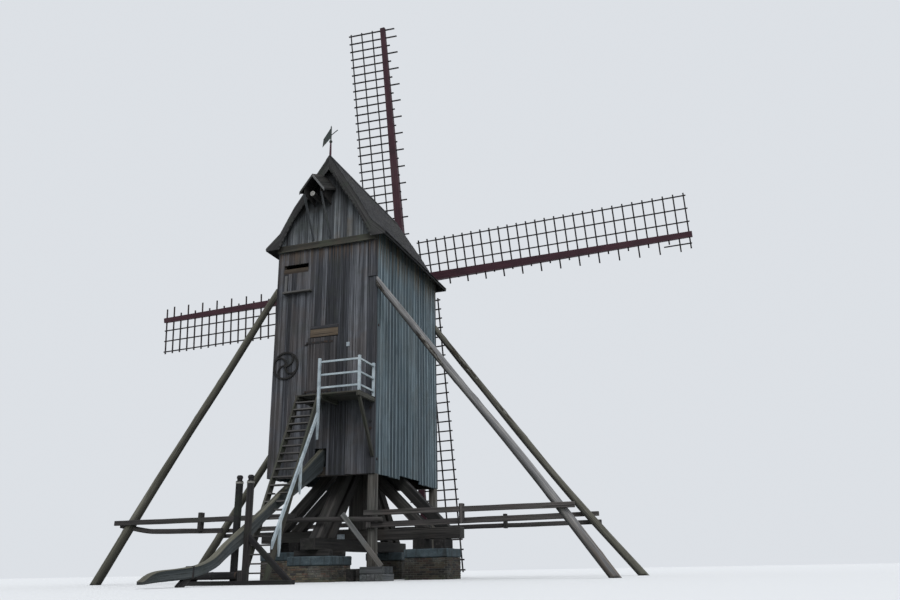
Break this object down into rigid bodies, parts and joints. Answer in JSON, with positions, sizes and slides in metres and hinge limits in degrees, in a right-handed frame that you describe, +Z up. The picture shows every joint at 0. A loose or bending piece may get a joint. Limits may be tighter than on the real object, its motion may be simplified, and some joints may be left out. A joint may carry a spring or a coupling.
{
  "type": "flemish post mill",
  "caption": "Wooden post windmill with a boarded body on a brick-pier trestle, lattice sails, ladder, tail beam and raking shores.",
  "frame": {"origin": "middle of the overall length and width, on the ground", "axes": "+Z up, +Y from the ladder towards the sails, +X to the right as seen from the ladder"},
  "size_m": [24.796, 17.585, 24.669],
  "materials": {
    "brickwork": "rough brick under a grey cement cap",
    "trestle_oak": "old dark oak",
    "frame_oak": "old oak",
    "tail_boards": "weathered grey-brown boards",
    "side_boards": "weathered blue-grey boards",
    "roof_shingles": "weathered dark shingles",
    "verge_boards": "weathered boards",
    "shore_logs": "peeled logs with green weathering",
    "rail_wood": "weathered rails",
    "white_paint": "white paint, worn",
    "ladder_wood": "weathered treads and stringers",
    "tail_beam_wood": "weathered curved trunk",
    "winch_wood": "old dark timber",
    "stock_paint": "dark maroon paint, worn",
    "lattice_wood": "dark tarred laths",
    "door_wood": "brown planks",
    "hinge_iron": "black wrought iron",
    "vane_metal": "dark green-grey paint"
  },
  "bodies": {
    "mill": {"left_pier": "brickwork", "right_pier": "brickwork", "tail_pier": "brickwork", "breast_pier": "brickwork", "packing_timbers": "trestle_oak", "lower_crosstree": "trestle_oak", "upper_crosstree": "trestle_oak", "main_post": "trestle_oak", "right_quarter_bars": "trestle_oak", "breast_quarter_bars": "trestle_oak", "left_quarter_bars": "trestle_oak", "tail_quarter_bars": "trestle_oak", "crown_tree": "frame_oak", "corner_posts": "frame_oak", "body_beams": "frame_oak", "sheers": "frame_oak", "meal_floor": "frame_oak", "stone_floor": "frame_oak", "tail_wall_left": "tail_boards", "tail_wall_right": "tail_boards", "tail_wall_middle": "tail_boards", "breast_wall": "tail_boards", "left_wall": "side_boards", "right_wall": "side_boards", "tail_gable": "tail_boards", "breast_gable": "tail_boards", "left_roof": "roof_shingles", "right_roof": "roof_shingles", "bargeboards": "verge_boards", "tail_trim": "verge_boards", "loft_hatch": "tail_boards", "hoist_hood": "verge_boards", "shaft_bearings": "frame_oak", "tail_right_shore": "shore_logs", "breast_right_shore": "shore_logs", "tail_left_shore": "shore_logs", "breast_left_shore": "shore_logs", "tail_rails": "rail_wood", "breast_rails": "rail_wood", "corner_props": "rail_wood", "platform": "ladder_wood", "handrails": "white_paint", "ladder_stringers": "ladder_wood", "ladder_treads": "ladder_wood", "tail_beam": "tail_beam_wood", "winch_frame": "winch_wood", "door_pintles": "hinge_iron", "vane_pole": "vane_metal"},
    "rotor": {"windshaft": "frame_oak", "level_stock": "stock_paint", "upright_stock": "stock_paint", "right_sail_lattice": "lattice_wood", "upper_sail_lattice": "lattice_wood", "left_sail_lattice": "lattice_wood", "lower_sail_lattice": "lattice_wood"},
    "door": {"entrance_door": "door_wood", "door_hinges": "hinge_iron"},
    "vane": {"weathervane": "vane_metal"},
    "drum": {"winch_drum": "winch_wood"}
  },
  "joints": [
    {"name": "sail_rotor", "type": "hinge", "parent": "mill", "child": "rotor", "pos_m": [0, 6.6175, 12.38], "axis": [0, 0.988, 0.1547], "continuous": true},
    {"name": "door_hinge", "type": "hinge", "parent": "mill", "child": "door", "pos_m": [-0.648, -0.6255, 6.9], "axis": [0, 0, -1], "range_deg": [0, 100]},
    {"name": "vane_pin", "type": "hinge", "parent": "mill", "child": "vane", "pos_m": [0.09, -0.7875, 15.5], "axis": [0, 0, 1], "continuous": true},
    {"name": "drum_journal", "type": "hinge", "parent": "mill", "child": "drum", "pos_m": [-0.6, -5.0825, 0.24], "axis": [1, 0, 0], "continuous": true}
  ]
}
